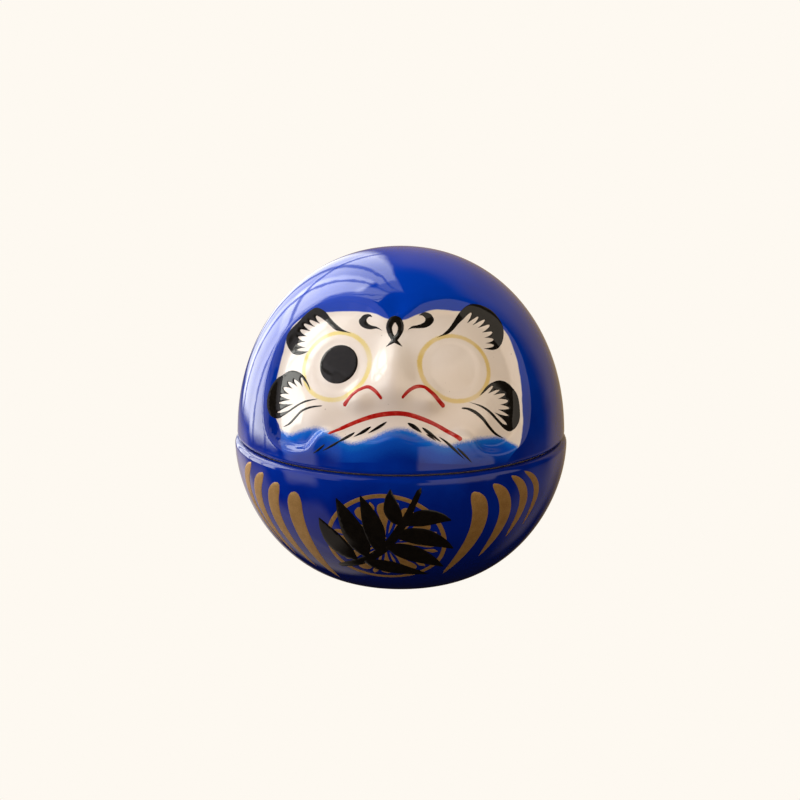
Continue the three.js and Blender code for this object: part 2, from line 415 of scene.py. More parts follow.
# Lays a copy of a unit at every seed point, turned and sized by the seed
def repeatTree():
    tree, given = newTree("repeated unit", (
        ("Geometry", "Geometry"), ("Unit", "Object"), ("Material", "Material")))
    unit = addNode(tree, "GeometryNodeObjectInfo", {}, {"Object": given["Unit"]})
    turn = addNode(tree, "GeometryNodeInputNamedAttribute", {"data_type": "FLOAT_VECTOR"}, {
        "Name": "turn"})
    size = addNode(tree, "GeometryNodeInputNamedAttribute", {"data_type": "FLOAT_VECTOR"}, {
        "Name": "size"})
    copies = addNode(tree, "GeometryNodeInstanceOnPoints", {}, {
        "Points": given["Geometry"], "Instance": unit.outputs["Geometry"],
        "Rotation": turn.outputs[0], "Scale": size.outputs[0]})
    index = addNode(tree, "GeometryNodeInputIndex")
    marked = addNode(
        tree, "GeometryNodeStoreNamedAttribute", {"data_type": "FLOAT", "domain": "INSTANCE"},
        {"Geometry": copies.outputs[0], "Name": "copy", "Value": index.outputs[0]})
    real = addNode(tree, "GeometryNodeRealizeInstances", {}, {0: marked.outputs[0]})
    dressed = addNode(tree, "GeometryNodeSetMaterial", {}, {
        "Geometry": real.outputs[0], "Material": given["Material"]})
    addNode(tree, "NodeGroupOutput", {}, {0: dressed.outputs[0]})
    return tree


# Runs a tree on a mesh with values for its named inputs, and gives the plain mesh it makes
def runTree(name, source, tree, values):
    maker = makeObject(name + "_maker", source)
    modifier = maker.modifiers.new("nodes", "NODES")
    modifier.node_group = tree
    for socket in tree.interface.items_tree:
        if socket.in_out == "INPUT" and socket.name in values:
            modifier[socket.identifier] = values[socket.name]
    bpy.context.view_layer.update()
    shaped = maker.evaluated_get(bpy.context.evaluated_depsgraph_get())
    mesh = bpy.data.meshes.new_from_object(shaped)
    mesh.name = name
    maker.modifiers.remove(modifier)
    bpy.data.objects.remove(maker)
    return mesh


def coordinates(mesh):
    flat = np.empty(len(mesh.vertices) * 3, np.float32)
    mesh.vertices.foreach_get("co", flat)
    return flat.reshape(-1, 3).astype(float)


def pointValues(mesh, name, width):
    flat = np.empty(len(mesh.vertices) * width, np.float32)
    mesh.attributes[name].data.foreach_get("vector" if width == 3 else "value", flat)
    return flat.reshape(-1, width)


def storeValues(mesh, name, values):
    layer = mesh.attributes.new(name, "FLOAT", "POINT")
    layer.data.foreach_set("value", np.asarray(values, np.float32))


def turnedMesh(name, rows, columns, gather, finishes):
    source = bpy.data.meshes.new(name + "_profile")
    source.from_pydata([(0, -r * mm, h * mm) for r, h, _, _ in rows], [], [])
    kind = source.attributes.new("kind", "FLOAT_VECTOR", "POINT")
    kind.data.foreach_set("vector", [c for row in rows for c in (row[2], row[3], 0)])
    mesh = runTree(name, source, wheel, {
        "Columns": columns, "Gather": gather, "Material": finishes[0]})
    zone = pointValues(mesh, "kind", 3)[:, 1]
    mesh.materials.clear()
    for one in finishes:
        mesh.materials.append(one)
    corners = np.empty(len(mesh.loops), np.int32)
    mesh.loops.foreach_get("vertex_index", corners)
    starts = np.empty(len(mesh.polygons), np.int32)
    mesh.polygons.foreach_get("loop_start", starts)
    lowest = np.minimum.reduceat(zone[corners], starts)
    mesh.polygons.foreach_set("material_index", lowest.round().astype(np.int32))
    mesh.shade_smooth()
    return mesh


# ---- finishes
colourMix = {"data_type": "RGBA"}
adding = {"operation": "ADD"}
multiplying = {"operation": "MULTIPLY"}
smoothly = {"interpolation_type": "SMOOTHSTEP"}


def newFinish(name):
    material = bpy.data.materials.new(name)
    material.use_nodes = True
    tree = material.node_tree
    where = addNode(tree, "ShaderNodeTexCoord").outputs["Object"]
    return material, tree, tree.nodes["Principled BSDF"], where


# The scale of a pattern whose grain has this size in mm
def grainOf(size):
    return 1 / (size * mm)


# A finish in two close colours that drift into each other in clouds
def cloudedFinish(name, size, detail, low, high, first, second):
    material, tree, shader, where = newFinish(name)
    cloud = addNode(tree, "ShaderNodeTexNoise", {}, {
        "Vector": where, "Scale": grainOf(size), "Detail": detail})
    share = addNode(tree, "ShaderNodeMapRange", {}, {0: cloud, 1: low, 2: high})
    colour = addNode(tree, "ShaderNodeMix", colourMix, {
        0: share, 6: linear(first), 7: linear(second)})
    fillInputs(tree, shader, {"Base Color": colour})
    return material, tree, shader, where


# Bumps laid on each other, each with its size and depth in mm: a glaze's slow run, a fine skin
def glazeBump(tree, shader, where, waves):
    normal = None
    for size, depth in waves:
        height = addNode(tree, "ShaderNodeTexNoise", {}, {"Vector": where, "Scale": grainOf(size)})
        inputs = {"Height": height, "Distance": depth * mm, "Strength": 1.0}
        if normal is not None:
            inputs["Normal"] = normal
        normal = addNode(tree, "ShaderNodeBump", {}, inputs)
    fillInputs(tree, shader, {"Normal": normal, "Coat Normal": normal})


# A clear glass skin over the colour: the coat mirrors, the colour under it only scatters
def glassy(shader, coat=1.0, coatRoughness=0.03, under=0.0):
    shader.inputs["Roughness"].default_value = 0.45
    shader.inputs["Specular IOR Level"].default_value = under
    shader.inputs["Coat Weight"].default_value = coat
    shader.inputs["Coat Roughness"].default_value = coatRoughness


glazeColours = {
    "cobalt": linear("#023CB4"), "cobaltShadedLow": linear("#021C78"), "cobaltFootShade": linear("#010C40"),
    "beardLight": linear("#1468C8"), "beardMiddle": linear("#0C4AB4"),
    "ivory": linear("#ECE2D8"), "ivoryWarm": linear("#E6D9CB"),
    "yellow": linear("#E4CE74"), "yellowDeep": linear("#DCBE62"), "thinEdge": linear("#7A6455"),
    "speck": linear("#6E5540"),
}


# Cobalt painted lighter on the crown and darker lower down as painted shade, and darkest near the
# foot as painted contact shade from the table
def cobaltColour(tree, where):
    height = addNode(tree, "ShaderNodeSeparateXYZ", {}, {0: where}).outputs["Z"]
    patchy = addNode(tree, "ShaderNodeTexNoise", {}, {
        "Vector": where, "Scale": grainOf(14), "Detail": 4})
    cloud = addNode(tree, "ShaderNodeMapRange", {}, {
        0: patchy, 1: 0.3, 2: 0.7, 3: -0.012, 4: 0.012})
    level = addNode(tree, "ShaderNodeMath", adding, {0: height, 1: cloud})
    # painted shade: the cobalt darkens from the crown downwards, standing in for less light falling
    # lower down
    depth = addNode(tree, "ShaderNodeMapRange", {}, {0: level, 1: 0.105, 2: 0.035})
    colour = addNode(tree, "ShaderNodeMix", colourMix, {
        0: depth, 6: glazeColours["cobalt"], 7: glazeColours["cobaltShadedLow"]})
    # painted contact shade: the cobalt goes darkest in the last 30 mm above the floor, as if shaded
    # by the table
    paintedFootShade = addNode(tree, "ShaderNodeMapRange", {}, {0: height, 1: 0.03, 2: 0.002})
    return addNode(tree, "ShaderNodeMix", colourMix, {
        0: paintedFootShade, 6: colour, 7: glazeColours["cobaltFootShade"]})


# Cobalt under a clear stoneware-type glaze: deep, wet and faintly mottled, with painted shade lower
# down
def cobaltGlaze():
    material, tree, shader, where = newFinish("cobalt under clear glaze")
    fillInputs(tree, shader, {"Base Color": cobaltColour(tree, where)})
    glassy(shader)
    glazeBump(tree, shader, where, [(7, 0.06), (1.1, 0.002)])
    return material


# Where the ivory slip lies, from 0 to 1, and how far a point is above the beard's upper edge
def ivoryPlace(tree, where):
    panel = addNode(tree, "ShaderNodeAttribute", {"attribute_name": "panel"}).outputs["Fac"]
    beard = addNode(tree, "ShaderNodeAttribute", {"attribute_name": "beard"}).outputs["Fac"]
    slow = addNode(tree, "ShaderNodeTexNoise", {}, {"Vector": where, "Scale": grainOf(5)})
    wobble = addNode(tree, "ShaderNodeMapRange", {}, {0: slow, 3: -0.2, 4: 0.2})
    fine = addNode(tree, "ShaderNodeTexNoise", {}, {
        "Vector": where, "Scale": grainOf(0.35), "Detail": 1})
    grain = addNode(tree, "ShaderNodeMapRange", {}, {0: fine, 3: -0.9, 4: 0.9})
    wavy = addNode(tree, "ShaderNodeMath", adding, {0: panel, 1: wobble})
    inPanel = addNode(tree, "ShaderNodeMapRange", {}, {0: wavy, 1: -0.12, 2: 0.12})
    beardEdge = addNode(tree, "ShaderNodeMath", adding, {0: beard, 1: grain})
    above = addNode(tree, "ShaderNodeMapRange", smoothly, {0: beardEdge, 1: -1.1, 2: 1.0})
    share = addNode(tree, "ShaderNodeMath", multiplying, {0: inPanel, 1: above})
    return inPanel, beardEdge, share


# Airbrushed blue that is lightest just below the beard's edge and sinks into the cobalt
def beardColour(tree, where, inPanel, beardEdge):
    cobaltHere = cobaltColour(tree, where)
    near = addNode(tree, "ShaderNodeMapRange", smoothly, {0: beardEdge, 1: -4.0, 2: -0.5})
    low = addNode(tree, "ShaderNodeMapRange", smoothly, {0: beardEdge, 1: -10.0, 2: -3.0})
    beard = addNode(tree, "ShaderNodeMix", colourMix, {
        0: low, 6: cobaltHere, 7: glazeColours["beardMiddle"]})
    beard = addNode(tree, "ShaderNodeMix", colourMix, {
        0: near, 6: beard, 7: glazeColours["beardLight"]})
    return addNode(tree, "ShaderNodeMix", colourMix, {0: inPanel, 6: cobaltHere, 7: beard})


# Ivory slip with a few specks, and a soft sprayed yellow ring round each eye
def ivoryColour(tree, where):
    slow = addNode(tree, "ShaderNodeTexNoise", {}, {
        "Vector": where, "Scale": grainOf(18), "Detail": 3})
    warm = addNode(tree, "ShaderNodeMapRange", {}, {0: slow, 1: 0.3, 2: 0.7})
    ivory = addNode(tree, "ShaderNodeMix", colourMix, {
        0: warm, 6: glazeColours["ivory"], 7: glazeColours["ivoryWarm"]})
    dots = addNode(tree, "ShaderNodeTexVoronoi", {}, {"Vector": where, "Scale": grainOf(4.5)})
    dot = addNode(tree, "ShaderNodeMapRange", {}, {
        0: dots.outputs["Distance"], 1: 0.03, 2: 0.045, 3: 0.6, 4: 0})
    ivory = addNode(tree, "ShaderNodeMix", colourMix, {
        0: dot, 6: ivory, 7: glazeColours["speck"]})
    fine = addNode(tree, "ShaderNodeTexNoise", {}, {
        "Vector": where, "Scale": grainOf(0.4), "Detail": 1})
    sprayed = addNode(tree, "ShaderNodeMapRange", {}, {0: fine, 3: -0.25, 4: 0.25})
    patchy = addNode(tree, "ShaderNodeTexNoise", {}, {"Vector": where, "Scale": grainOf(11)})
    strength = addNode(tree, "ShaderNodeMapRange", {}, {0: patchy, 1: 0.3, 2: 0.6, 3: 0.55, 4: 1})
    for name, tone in (("ringLeft", "yellow"), ("ringRight", "yellowDeep")):
        distance = addNode(tree, "ShaderNodeAttribute", {"attribute_name": name}).outputs["Fac"]
        away = addNode(tree, "ShaderNodeMath", adding, {0: distance, 1: sprayed})
        band = addNode(tree, "ShaderNodeMapRange", smoothly, {
            0: away, 1: 0.45, 2: 1.05, 3: 0.9, 4: 0})
        ring = addNode(tree, "ShaderNodeMath", multiplying, {0: band, 1: strength})
        ivory = addNode(tree, "ShaderNodeMix", colourMix, {
            0: ring, 6: ivory, 7: glazeColours[tone]})
    return ivory


# The same glaze over the painted face, worn thin and brown along the lid's bottom edge
def faceGlaze():
    material, tree, shader, where = newFinish("face painted under clear glaze")
    inPanel, beardEdge, share = ivoryPlace(tree, where)
    colour = addNode(tree, "ShaderNodeMix", colourMix, {
        0: share, 6: beardColour(tree, where, inPanel, beardEdge), 7: ivoryColour(tree, where)})
    seat = addNode(tree, "ShaderNodeAttribute", {"attribute_name": "aboveSeat"}).outputs["Fac"]
    thin = addNode(tree, "ShaderNodeMapRange", {}, {0: seat, 1: 0.1, 2: 0.55, 3: 1, 4: 0})
    colour = addNode(tree, "ShaderNodeMix", colourMix, {
        0: thin, 6: colour, 7: glazeColours["thinEdge"]})
    fillInputs(tree, shader, {"Base Color": colour})
    glassy(shader)
    glazeBump(tree, shader, where, [(7, 0.06), (1.1, 0.002)])
    return material


# Clear glaze over the pale body, inside the jar: milky, drifting a touch grey in random clouds
def clearGlaze():
    material, tree, shader, where = cloudedFinish(
        "clear glaze over pale body", 20, 3, 0.3, 0.7, "#E8E3D8", "#DDD6C8")
    glassy(shader)
    glazeBump(tree, shader, where, [(12, 0.06), (1.1, 0.003)])
    return material


# Unglazed fired body on the lands that stand on something: chalky, with fine grit
def bareBiscuit():
    material, tree, shader, where = cloudedFinish(
        "unglazed biscuit", 0.5, 3, 0.35, 0.7, "#DCCFB8", "#C9B697")
    shader.inputs["Roughness"].default_value = 0.85
    glazeBump(tree, shader, where, [(0.5, 0.03)])
    return material


# Overglaze black enamel, brushed on and fired: glossy with faint brush drag
def blackEnamel():
    material, tree, shader, where = cloudedFinish(
        "black overglaze enamel", 1.6, 3, 0.3, 0.75, "#12100D", "#1D1A16")
    glassy(shader, 0.8, 0.06)
    glazeBump(tree, shader, where, [(2.2, 0.02), (0.6, 0.003)])
    return material


# The thick brushed black of the mark, which lies opaque and a little duller
def blackBrushwork():
    material, tree, shader, where = cloudedFinish(
        "thick black brushwork", 2.4, 3, 0.3, 0.75, "#0C0A08", "#14110D")
    glassy(shader, 0.7, 0.1)
    glazeBump(tree, shader, where, [(2.2, 0.02), (0.6, 0.003)])
    return material


# Overglaze red, which fires thin in places so that the ivory shows through
def redEnamel():
    material, tree, shader, where = cloudedFinish(
        "red overglaze enamel", 1.8, 2, 0.45, 0.75, "#AE1A16", "#C4473A")
    glassy(shader)
    glazeBump(tree, shader, where, [(1.2, 0.006)])
    return material


# Gold lustre fired at low heat: satin metal with pinholes and a few dark grains
def goldLustre():
    material, tree, shader, where = newFinish("gold lustre")
    slow = addNode(tree, "ShaderNodeTexNoise", {}, {
        "Vector": where, "Scale": grainOf(2.5), "Detail": 3})
    cloudy = addNode(tree, "ShaderNodeMapRange", {}, {0: slow, 1: 0.3, 2: 0.7})
    colour = addNode(tree, "ShaderNodeMix", colourMix, {
        0: cloudy, 6: linear("#B68C50"), 7: linear("#A67C42")})
    cells = addNode(tree, "ShaderNodeTexVoronoi", {}, {"Vector": where, "Scale": grainOf(0.9)})
    pinhole = addNode(tree, "ShaderNodeMapRange", {}, {
        0: cells.outputs["Distance"], 1: 0.06, 2: 0.12, 3: 0.5, 4: 0})
    colour = addNode(tree, "ShaderNodeMix", colourMix, {
        0: pinhole, 6: colour, 7: linear("#5E431C")})
    fine = addNode(tree, "ShaderNodeTexNoise", {}, {
        "Vector": where, "Scale": grainOf(0.28), "Detail": 1})
    grainy = addNode(tree, "ShaderNodeMapRange", {}, {0: fine, 1: 0.35, 2: 0.7, 3: 0, 4: 0.45})
    colour = addNode(tree, "ShaderNodeMix", colourMix, {
        0: grainy, 6: colour, 7: linear("#7A5A2C")})
    worn = addNode(tree, "ShaderNodeTexNoise", {}, {"Vector": where, "Scale": grainOf(0.6)})
    rough = addNode(tree, "ShaderNodeMapRange", {}, {0: worn, 1: 0.3, 2: 0.7, 3: 0.38, 4: 0.55})
    fillInputs(tree, shader, {"Base Color": colour, "Roughness": rough, "Metallic": 0.55})
    glazeBump(tree, shader, where, [(0.5, 0.004)])
    return material


cobalt = cobaltGlaze()
facePaint = faceGlaze()
inner = clearGlaze()
biscuit = bareBiscuit()
black = blackEnamel()
brushwork = blackBrushwork()
red = redEnamel()
gold = goldLustre()
wheel = wheelTree()
repeater = repeatTree()
print("finishes made")


# ---- bowl
def makeBowl():
    mesh = turnedMesh("bowl_shell", bowlProfile(), 240, 0.0, [cobalt, inner, biscuit])
    bowl = makeObject("bowl_shell", mesh)
    finish(bowl, "bowl")
    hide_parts("bowl")
    return bowl


makeBowl()
print("bowl turned")


# ---- lid, with the paint's outlines measured along the skin
paint = {
    "panelRight": [
        (0, 24.2), (3, 24.9), (7.3, 27.6), (12, 29.8), (18.4, 30.8), (24.4, 31.2), (30, 30.1),
        (36.3, 26.4), (40.8, 19.4), (43.8, 10.2), (45.2, 2), (45.5, -6.5), (43.8, -12), (42, -14),
    ],
    "panelLeft": [
        (-40, -14), (-42, -11), (-43.2, -6), (-44.7, 0.2), (-43, 10.2), (-39.1, 21),
        (-36, 26.5), (-31.3, 29.8), (-24.8, 30.8), (-13.7, 29.6), (-6.8, 27.4), (-3.1, 25.1),
    ],
    "beardLine": [
        (-46, -6), (-43, -7.5), (-37.5, -9.4), (-31, -8.4), (-24.5, -8.2), (-19, -10.5),
        (-13.7, -13.2), (-7.2, -11.7), (-1.2, -9.2), (4.7, -9), (10.1, -11.5), (16.6, -13.6),
        (21.5, -12.2), (29, -10.6), (38.7, -9.8), (42, -11.4), (44, -13), (48, -13),
    ],
    "beardBottom": -19.5,
    "ringLeft": (-19.2, 11.6, 11.6, 11.0), "ringRight": (19.2, 11.2, 11.7, 10.6),
}


def ringDistance(u, v, ring):
    middleU, middleV, reachU, reachV = ring
    scaled = np.hypot((u - middleU) / reachU, (v - middleV) / reachV)
    return np.abs(scaled - 1) * (reachU + reachV) / 2


def makeLid():
    mesh = turnedMesh("lid_shell", lidProfile(), 300, 0.5, [facePaint, inner, biscuit])
    points = coordinates(mesh) / mm
    share = pointValues(mesh, "kind", 3)[:, 0]
    reach = np.maximum(np.linalg.norm(points, axis=1), 1e-9)
    u, v = toChart(points / reach[:, None])
    lift = share * reliefFade(points[:, 2]) * faceRelief(u, v)
    points *= (1 + lift / reach)[:, None]
    bottom = paint["beardBottom"]
    outline = np.vstack([
        smoothPath(paint["panelRight"]), [(38, bottom), (-38, bottom)],
        smoothPath(paint["panelLeft"] + [(0, 24.2)]),
    ])
    line = smoothPath(paint["beardLine"])
    storeValues(mesh, "panel", insideDistance(u, v, [outline]))
    storeValues(mesh, "beard", v - np.interp(u, line[:, 0], line[:, 1]))
    storeValues(mesh, "ringLeft", ringDistance(u, v, paint["ringLeft"]))
    storeValues(mesh, "ringRight", ringDistance(u, v, paint["ringRight"]))
    storeValues(mesh, "aboveSeat", points[:, 2])
    points[:, 2] += seatHeight
    mesh.vertices.foreach_set("co", (points * mm).astype(np.float32).ravel())
    mesh.update()
    lid = makeObject("lid_shell", mesh)
    finish(lid, "lid")
    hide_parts("lid")
    return lid


makeLid()
print("lid turned and pressed")


# ---- enamel: thin solids with a rounded rim, cut flat and then laid on the ware
enamel = {
    "rim": 0.5, "bedded": 0.25, "spacing": 0.7,
    "brush": 0.12, "line": 0.10, "knot": 0.16, "pupil": 0.14,
}


def flatSolid(outlines, height, spacing=enamel["spacing"]):
    loops = [np.asarray(o) for o in outlines]
    edge = np.vstack(loops)
    low, high = edge.min(0), edge.max(0)
    across, up = np.meshgrid(
        np.arange(low[0], high[0], spacing), np.arange(low[1], high[1], spacing * 0.87))
    across[1::2] += spacing / 2
    inset = []
    for loop in loops:
        tangent = np.roll(loop, -1, axis=0) - np.roll(loop, 1, axis=0)
        tangent /= np.maximum(np.linalg.norm(tangent, axis=1), 1e-9)[:, None]
        inset += [loop + np.stack([s * tangent[:, 1], -s * tangent[:, 0]], 1) for s in (-0.2, 0.2)]
    inset = np.vstack(inset)
    depthInset = insideDistance(inset[:, 0], inset[:, 1], loops)
    fill = np.stack([across.ravel(), up.ravel()], 1)
    depthFill = insideDistance(fill[:, 0], fill[:, 1], loops)
    points = np.vstack([edge, inset[depthInset > 0.17], fill[depthFill > spacing * 0.55]])
    edges, start = [], 0
    for loop in loops:
        count = len(loop)
        edges += [(start + i, start + (i + 1) % count) for i in range(count)]
        start += count
    verts, _, faces, _, _, _ = delaunay_2d_cdt([Vector(p) for p in points], edges, [], 0, 1e-5)
    flat = np.array([tuple(p) for p in verts])
    triangles = np.array(faces)
    middle = flat[triangles].mean(axis=1)
    triangles = triangles[insideDistance(middle[:, 0], middle[:, 1], loops) > 0]
    a, b, c = (flat[triangles[:, i]] for i in range(3))
    area = (b[:, 0] - a[:, 0]) * (c[:, 1] - a[:, 1]) - (b[:, 1] - a[:, 1]) * (c[:, 0] - a[:, 0])
    triangles[area < 0] = triangles[area < 0][:, ::-1]
    triangles = triangles[np.abs(area) > 1e-7]
    used, triangles = np.unique(triangles, return_inverse=True)
    triangles = triangles.reshape(-1, 3)
    flat = flat[used]
    depth = np.abs(insideDistance(flat[:, 0], flat[:, 1], loops))
    swell = np.sqrt(1 - (1 - np.clip(depth / enamel["rim"], 0, 1)) ** 2)
    top = np.column_stack([flat, height * (0.3 + 0.7 * swell)])
    base = np.column_stack([flat, np.full(len(flat), -enamel["bedded"])])
    sides = {}
    for triangle in triangles:
        for i in range(3):
            sides[(triangle[i], triangle[(i + 1) % 3])] = True
    count = len(flat)
    walls = [(b, a, a + count, b + count) for a, b in sides if (b, a) not in sides]
    return np.vstack([top, base]), [*triangles, *(triangles[:, ::-1] + count), *walls]


def joined(solids):
    points, faces, start = [], [], 0
    for solid, solidFaces in solids:
        points.append(solid)
        faces += [tuple(int(i) + start for i in f) for f in solidFaces]
        start += len(solid)
    return np.vstack(points), faces


def layEnamel(name, solids, place, finishOf, body):
    flat, faces = joined(solids)
    mesh = meshFrom(name, place(flat) * mm, faces)
    mesh.materials.append(finishOf)
    mesh.shade_smooth()
    mesh.set_sharp_from_angle(angle=math.radians(55))
    piece = makeObject(name, mesh)
    finish(piece, body)
    return piece


# A stroke of the brush: a smooth line with a width at each of its points and round ends
def brushStroke(points, widths, steps=10):
    drawn = smoothPath(np.column_stack([points, widths]), steps)
    path, width = drawn[:, :2], drawn[:, 2]
    travel = np.concatenate([[0], np.cumsum(np.linalg.norm(np.diff(path, axis=0), axis=1))])
    for fromEnd, cap in ((travel, widths[0] / 2), (travel[-1] - travel, widths[-1] / 2)):
        cap = max(cap, 0.05)
        width = width * np.sqrt(1 - (1 - np.clip(fromEnd / cap, 0, 1)) ** 2)
    tangent = np.gradient(path, axis=0)
    tangent /= np.linalg.norm(tangent, axis=1)[:, None]
    side = np.stack([-tangent[:, 1], tangent[:, 0]], 1) * width[:, None] / 2
    return np.vstack([path + side, (path - side)[-2:0:-1]])


# ---- brows: a solid crest whose inner edge is combed into fingers of bare ivory
brows = {
    "brow_left": {
        "crest": [
            (-14, 21.9), (-16.9, 23.7), (-19.7, 26.5), (-21.7, 29), (-23.3, 31), (-25.9, 32.1),
            (-28.3, 31.5), (-32.7, 28.8), (-36.7, 25.8), (-38, 23), (-37, 20), (-34.8, 18.4),
            (-32, 17.8), (-29, 18.1),
        ],
        "fingers": [(-34.2, 20), (-34.2, 24), (-31.4, 28), (-26.7, 29.9)],
        "teeth": [(-30.5, 20), (-30.3, 23.8), (-28.6, 26.3), (-25.4, 27.7)],
        "tail": [(-25.1, 29.6), (-23.5, 28.3), (-21.4, 25.9), (-19.3, 23.8), (-14, 21.9)],
    },
    "brow_right": {
        "crest": [
            (12.7, 20.5), (14.5, 21.8), (16.5, 24.2), (18.1, 27), (20.2, 30.9), (22.7, 32.9),
            (25.5, 33.5), (28.1, 33.4), (30.8, 32.6), (33.1, 30.6), (35.3, 27), (35.8, 23.3),
            (34.4, 21.3), (32.2, 20.1), (28.8, 19.7),
        ],
        "fingers": [(32.9, 21.9), (32.5, 25.4), (29.8, 29), (24, 30.8)],
        "teeth": [(29.6, 21.9), (28.8, 25), (26.4, 27.1), (22.8, 27.7)],
        "tail": [(22.4, 30), (19.7, 26.6), (18.3, 24.4), (16.4, 22.3), (12.7, 20.5)],
    },
    "cheek_brow_left": {
        "crest": [
            (-28, 4.5), (-28.5, 6.1), (-29.7, 8.4), (-31, 10.1), (-33, 11.7), (-35.5, 12.8),
            (-38.1, 13.1), (-42.4, 11.4), (-45.4, 6.7), (-46.4, 1.4), (-45.4, -2.3),
            (-43.7, -3.2), (-41.4, -2.7), (-38.3, -1.8), (-34.6, -0.6), (-31.1, 0.4), (-24.7, 1.3),
        ],
        "back": [(-24.7, 1.3), (-29.3, 1.4), (-32, 0.9), (-35, 0), (-38.3, -1), (-41, -1.2)],
        "fingers": [(-43.1, -0.6), (-42.3, 5), (-38.2, 9.2), (-32.1, 9.3)],
        "teeth": [(-35.5, 0.9), (-37.8, 4), (-35.6, 6.5), (-31.3, 6.3)],
        "tail": [(-31.1, 8.7), (-29.6, 7), (-28, 4.5)],
    },
    "cheek_brow_right": {
        "crest": [
            (27.6, 3.1), (29, 5.1), (30.8, 7.3), (33, 8.9), (35.3, 9.9), (37.9, 10.1),
            (40.5, 9.3), (42.6, 7.6), (43.9, 4.9), (44.8, -1), (44.5, -3.9), (43.6, -6.1),
            (42, -7.2), (39.4, -6.9), (36.2, -5.2), (33.1, -3.3), (30.1, -1.5), (27.3, -0.3),
            (23.7, 0.7),
        ],
        "back": [(23.7, 0.7), (28.4, 0), (30.6, -0.8), (32.8, -1.9), (35.6, -3.7), (37.9, -4.9)],
        "fingers": [(39.5, -4.4), (40.5, 0.8), (38.3, 5.6), (32.9, 7.3)],
        "teeth": [(33.6, -1.6), (36.4, 1), (34.4, 4), (31, 4.5)],
        "tail": [(31.3, 6.5), (29.5, 4.7), (27.6, 3.1)],
    },
}
browFingers = 7


def evenly(points, count):
    path = smoothPath(points, 16)
    travel = np.concatenate([[0], np.cumsum(np.linalg.norm(np.diff(path, axis=0), axis=1))])
    marks = np.linspace(0, travel[-1], count)
    return np.stack([np.interp(marks, travel, path[:, i]) for i in range(2)], 1)


def combed(start, ends, teeth, last):
    t = (np.arange(9) / 9)[:, None]
    stops = [np.array(start), *teeth, np.array(last)]
    parts = []
    for a, end, b in zip(stops, ends, stops[1:]):
        pull = (8 * end - a - b) / 6
        spread = (a - b) * 0.32
        near, far = pull + spread, pull - spread
        parts.append((1 - t)**3 * a + 3 * (1 - t)**2 * t * near + 3 * (1 - t) * t**2 * far + t**3 * b)
    return np.vstack(parts)


def browOutline(brow):
    crest = smoothPath(brow["crest"], 6)[:-1]
    back = smoothPath(brow["back"], 6) if "back" in brow else np.array([brow["crest"][-1]], float)
    comb = combed(
        back[-1], evenly(brow["fingers"], browFingers), evenly(brow["teeth"], browFingers - 1),
        brow["tail"][0])
    tail = smoothPath(brow["tail"], 6)[:-1]
    return np.vstack([crest, back[:-1], comb, tail])


for name, brow in brows.items():
    solid = flatSolid([browOutline(brow)], enamel["brush"])
    layEnamel(name, [solid], onFace, black, "lid")
print("brows painted")


# ---- the rest of the face: curls, knot, pupil, cheek lines, beard, nostrils and mouth
features = {
    "curl_left": [
        [(-7.3, 26.6), (-7.9, 27.4), (-9.1, 27.9), (-10.6, 27.8), (-11.7, 26.6), (-11.5, 25.1),
         (-10.1, 23.6), (-8.1, 22.9), (-5.9, 23), (-4.1, 22.1)],
        [(-4.1, 22.1), (-5.9, 23.6), (-7.9, 24.4), (-9.1, 25.5), (-9.2, 26.5), (-8.5, 27),
         (-7.3, 26.6)],
    ],
    "curl_right": [
        [(3.7, 22.4), (5.3, 23.1), (7.5, 23.4), (9.3, 23.8), (11.1, 25.2), (11.8, 27),
         (10.9, 28.3), (9.4, 28.5), (8.1, 28.1), (6.9, 27)],
        [(6.9, 27), (8, 27.3), (9, 26.9), (9, 26.1), (8.2, 25.2), (6.5, 24.3), (4.9, 23.6),
         (3.7, 22.4)],
    ],
}
knot = {
    "middle": -0.2,
    "loop": [(0, 25.8), (1.4, 25.3), (2.4, 24.1), (2.7, 22.8), (2.1, 20.6), (0.9, 18)],
    "foot": [(0.9, 18), (2.4, 15.7)],
    "notch": [(2.4, 15.7), (1.2, 16.2), (0, 16.9)],
    "hole": [(0.1, 23.9), (0.85, 22.8), (0.7, 21.4), (0, 19.6)],
}
pupil = {"middle": (-17.9, 12.0), "reach": (6.45, 6.3)}
lines = {
    "cheek_line_left": (
        [(-41.2, -6.5), (-37.8, -5.7), (-34.1, -3.8), (-31.1, -2.1), (-27.6, -1.3), (-23.3, -1.1)],
        [0.2, 0.7, 0.9, 0.8, 0.7, 0.3], black, "black_enamel"),
    "cheek_line_right": (
        [(21.5, -1.5), (23.7, -1.6), (26.2, -2.6), (28.7, -4.3), (31.6, -6.7), (34.9, -8.7),
         (39, -10)],
        [0.4, 0.8, 1.1, 1.1, 1.0, 0.9, 0.2], black, "black_enamel"),
    "nostril_left": (
        [(-16.1, -1.6), (-13.6, 0.7), (-10.6, 2.7), (-7.8, 3.5), (-5.6, 2.2), (-3.4, -0.3)],
        [1.4, 1.2, 1.1, 1.1, 1.0, 0.8], red, "red_enamel"),
    "nostril_right": (
        [(2.4, -0.1), (4.2, 1.9), (6.7, 3.6), (8.9, 3.8), (11.1, 2.3), (13.5, 0.2), (15.9, -1.6)],
        [0.7, 0.9, 1.1, 1.1, 1.3, 1.4, 1.4], red, "red_enamel"),
    "mouth": (
        [(-21, -10.2), (-16.4, -8.2), (-10.9, -6.2), (-5.7, -4.8), (-0.6, -4.2), (3.9, -4.3),
         (8.5, -5.4), (13.2, -7.1), (18.1, -9.6), (21.4, -11.8)],
        [0.8, 1.2, 1.3, 1.4, 1.4, 1.4, 1.4, 1.3, 1.4, 1.4], red, "red_enamel"),
}
